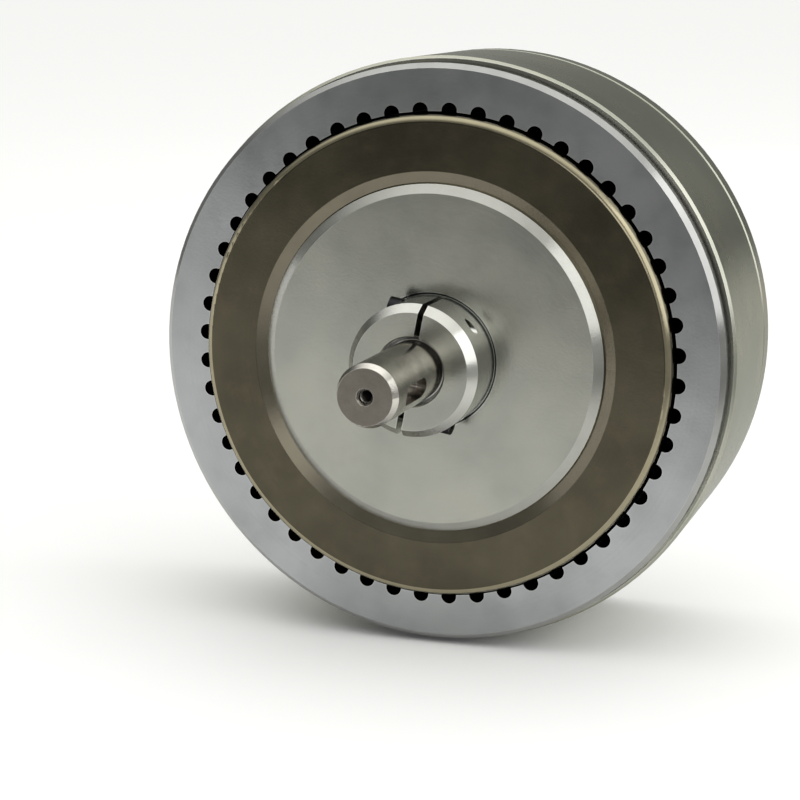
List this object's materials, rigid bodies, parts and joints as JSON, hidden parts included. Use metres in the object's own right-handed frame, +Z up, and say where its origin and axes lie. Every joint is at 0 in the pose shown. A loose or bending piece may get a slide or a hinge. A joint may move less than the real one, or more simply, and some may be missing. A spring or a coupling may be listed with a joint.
{
  "type": "hysteresis brake",
  "caption": "Round hysteresis brake with a keyed front shaft, split-hub rotor cup turning inside a notched pole ring, and a flat rear face that bolts to a machine.",
  "frame": {"origin": "on the shaft's axis in the rear mounting face, at the centre of the rear bolt circle", "axes": "+Y out of the rear face along the shaft's axis, the drive shaft points along -Y, +Z up"},
  "size_m": [0.249, 0.1848, 0.246],
  "materials": {
    "casing_steel": "turned and plated",
    "plated_pole_steel": "plated",
    "core_steel": "turned",
    "hysteresis_alloy": "heat-treated, dark brown",
    "turned_aluminium": "fine turned",
    "ground_shaft": "ground",
    "bearing_steel": "ground",
    "spring_steel": "phosphated",
    "black_screws": "black oxide",
    "bobbin_plastic": "moulded",
    "copper_winding": "enamelled wire",
    "grommet_rubber": "matt"
  },
  "bodies": {
    "housing": {"field_housing": "casing_steel", "front_pole_ring": "plated_pole_steel", "inner_pole": "core_steel", "rear_plate": "casing_steel", "coil_bobbin": "bobbin_plastic", "field_coil": "copper_winding", "front_bearing_outer_race": "bearing_steel", "rear_bearing_outer_race": "bearing_steel", "bearing_retaining_ring": "spring_steel", "preload_spring": "spring_steel", "lead_grommet": "grommet_rubber", "rear_plate_screws": "black_screws", "core_screws": "black_screws"},
    "rotor": {"shaft": "ground_shaft", "rotor_hub": "turned_aluminium", "drag_cup": "hysteresis_alloy", "front_bearing_inner_race": "bearing_steel", "rear_bearing_inner_race": "bearing_steel", "shaft_retaining_ring": "spring_steel", "clamp_screws": "black_screws", "cup_screws": "black_screws"}
  },
  "joints": [
    {"name": "rotor_spin", "type": "hinge", "parent": "housing", "child": "rotor", "pos_m": [0, -0.093, 0], "axis": [0, -1, 0], "continuous": true}
  ]
}
